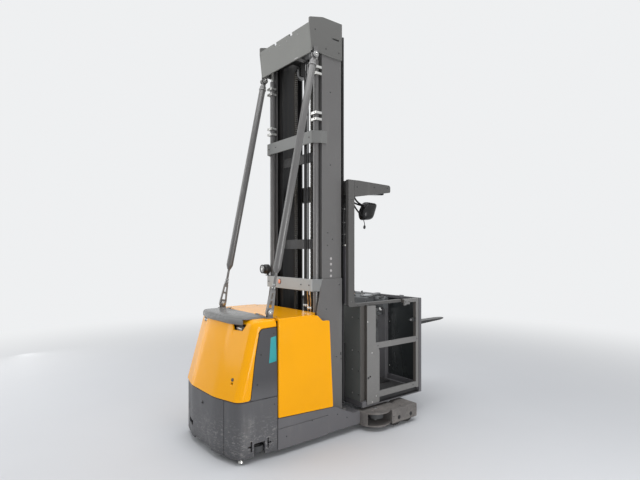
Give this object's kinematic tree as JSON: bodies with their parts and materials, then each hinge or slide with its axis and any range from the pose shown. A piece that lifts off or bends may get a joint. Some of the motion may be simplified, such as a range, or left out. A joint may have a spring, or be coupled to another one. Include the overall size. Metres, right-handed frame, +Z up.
{
  "type": "order picker truck",
  "caption": "High level order picker truck with a telescoping mast, a lifting operator's cab with side gates, short forks and a steered rear drive wheel.",
  "frame": {"origin": "centre of the outer box at floor level", "axes": "+X to the truck's right side, +Y forward to the forks, +Z up"},
  "size_m": [1.324, 2.855, 3.69],
  "materials": {
    "paint_yellow": "gloss paint",
    "paint_grey": "satin paint",
    "paint_mast": "satin paint",
    "steel_dark": "greased steel",
    "steel_bright": "bright zinc",
    "steel_worn": "worn primer",
    "tyre": "solid tyre",
    "roller": "polyurethane",
    "plastic_black": "moulded",
    "plastic_grey": "moulded",
    "panel_dark": "dark panel"
  },
  "bodies": {
    "root": {"chassis_frame": "paint_grey", "load_arms": "steel_worn", "wheel_axles": "steel_bright", "rear_roller_brackets": "steel_dark", "rear_feet": "steel_bright", "rear_skirt": "paint_grey", "rear_hood": "paint_yellow", "battery_cover": "paint_yellow", "battery": "plastic_black", "mast_rails": "paint_mast", "mast_foot_plates": "paint_mast", "mast_braces": "paint_mast", "mast_cover": "paint_mast", "lift_cylinders": "paint_mast", "cylinder_clamps": "steel_bright", "stays": "paint_mast", "stay_links": "paint_grey", "stay_feet": "paint_grey", "brace_lamp": "plastic_black", "chains_fixed": "steel_dark"},
    "steer_unit": {"steer_turntable": "steel_dark", "drive_motor": "steel_dark"},
    "drive_wheel": {"drive_wheel": "tyre"},
    "inner_mast": {"inner_mast": "steel_dark", "chain_sheaves": "steel_dark", "lift_rods": "steel_bright", "chains_moving": "steel_dark"},
    "cab": {"cab_floor": "paint_grey", "cab_rear_wall": "paint_grey", "cab_carriage": "steel_dark", "cab_front_frame": "paint_grey", "cab_front_panels": "panel_dark", "control_console": "plastic_black", "guard_posts": "paint_grey", "overhead_guard": "paint_grey", "mirror": "plastic_black", "fork_mast": "paint_grey"},
    "fork_carriage": {"fork_carriage": "paint_grey", "forks": "steel_dark"},
    "hood_lid": {"hood_lid": "plastic_grey"},
    "load_wheel_rear_right": {"load_wheel_rear_right": "tyre"},
    "load_wheel_front_right": {"load_wheel_front_right": "tyre"},
    "guide_roller_front_right": {"guide_roller_front_right": "roller"},
    "guide_roller_rear_right": {"guide_roller_rear_right": "roller"},
    "side_gate_right": {"side_gate_right": "paint_grey"},
    "battery_door_right": {"battery_door_right": "paint_yellow"},
    "load_wheel_rear_left": {"load_wheel_rear_left": "tyre"},
    "load_wheel_front_left": {"load_wheel_front_left": "tyre"},
    "guide_roller_front_left": {"guide_roller_front_left": "roller"},
    "guide_roller_rear_left": {"guide_roller_rear_left": "roller"},
    "side_gate_left": {"side_gate_left": "paint_grey"},
    "battery_door_left": {"battery_door_left": "paint_yellow"}
  },
  "joints": [
    {"name": "drive_steer", "type": "hinge", "parent": "root", "child": "steer_unit", "pos_m": [0, -1.1775, 0.452], "axis": [0, 0, 1], "range_deg": [-90, 90]},
    {"name": "drive_spin", "type": "hinge", "parent": "steer_unit", "child": "drive_wheel", "pos_m": [0, -1.1775, 0.1715], "axis": [1, 0, 0], "continuous": true},
    {"name": "mast_lift", "type": "slide", "parent": "root", "child": "inner_mast", "axis": [0, 0, 1], "range_m": [0, 2.75]},
    {"name": "cab_lift", "type": "slide", "parent": "inner_mast", "child": "cab", "axis": [0, 0, 1], "range_m": [0, 2.75]},
    {"name": "fork_lift", "type": "slide", "parent": "cab", "child": "fork_carriage", "axis": [0, 0, 1], "range_m": [-0.77, 0]},
    {"name": "hood_lid_swing", "type": "hinge", "parent": "root", "child": "hood_lid", "pos_m": [0, -1.0435, 1.108], "axis": [-1, 0, 0], "range_deg": [0, 80]},
    {"name": "load_wheel_rear_right_spin", "type": "hinge", "parent": "root", "child": "load_wheel_rear_right", "pos_m": [0.576, 0.2295, 0.075], "axis": [1, 0, 0], "continuous": true},
    {"name": "load_wheel_front_right_spin", "type": "hinge", "parent": "root", "child": "load_wheel_front_right", "pos_m": [0.576, 0.3915, 0.075], "axis": [1, 0, 0], "continuous": true},
    {"name": "guide_roller_front_right_spin", "type": "hinge", "parent": "root", "child": "guide_roller_front_right", "pos_m": [0.52, 0.0585, 0.11], "axis": [0, 0, 1], "continuous": true},
    {"name": "guide_roller_rear_right_spin", "type": "hinge", "parent": "root", "child": "guide_roller_rear_right", "pos_m": [0.418, -1.1655, 0.092], "axis": [0, 0, 1], "continuous": true},
    {"name": "side_gate_right_swing", "type": "hinge", "parent": "cab", "child": "side_gate_right", "pos_m": [0.491, -0.0185, 0.246], "axis": [0, 0, -1], "range_deg": [0, 95]},
    {"name": "battery_door_right_swing", "type": "hinge", "parent": "root", "child": "battery_door_right", "pos_m": [0.49, -0.9905, 0.304], "axis": [0, 0, -1], "range_deg": [0, 100]},
    {"name": "load_wheel_rear_left_spin", "type": "hinge", "parent": "root", "child": "load_wheel_rear_left", "pos_m": [-0.576, 0.2295, 0.075], "axis": [1, 0, 0], "continuous": true},
    {"name": "load_wheel_front_left_spin", "type": "hinge", "parent": "root", "child": "load_wheel_front_left", "pos_m": [-0.576, 0.3915, 0.075], "axis": [1, 0, 0], "continuous": true},
    {"name": "guide_roller_front_left_spin", "type": "hinge", "parent": "root", "child": "guide_roller_front_left", "pos_m": [-0.52, 0.0585, 0.11], "axis": [0, 0, 1], "continuous": true},
    {"name": "guide_roller_rear_left_spin", "type": "hinge", "parent": "root", "child": "guide_roller_rear_left", "pos_m": [-0.418, -1.1655, 0.092], "axis": [0, 0, 1], "continuous": true},
    {"name": "side_gate_left_swing", "type": "hinge", "parent": "cab", "child": "side_gate_left", "pos_m": [-0.491, -0.0185, 0.246], "axis": [0, 0, 1], "range_deg": [0, 95]},
    {"name": "battery_door_left_swing", "type": "hinge", "parent": "root", "child": "battery_door_left", "pos_m": [-0.49, -0.9905, 0.304], "axis": [0, 0, 1], "range_deg": [0, 100]}
  ],
  "couplings": [
    {"joint": "cab_lift", "follows": "mast_lift", "ratio": 1}
  ]
}
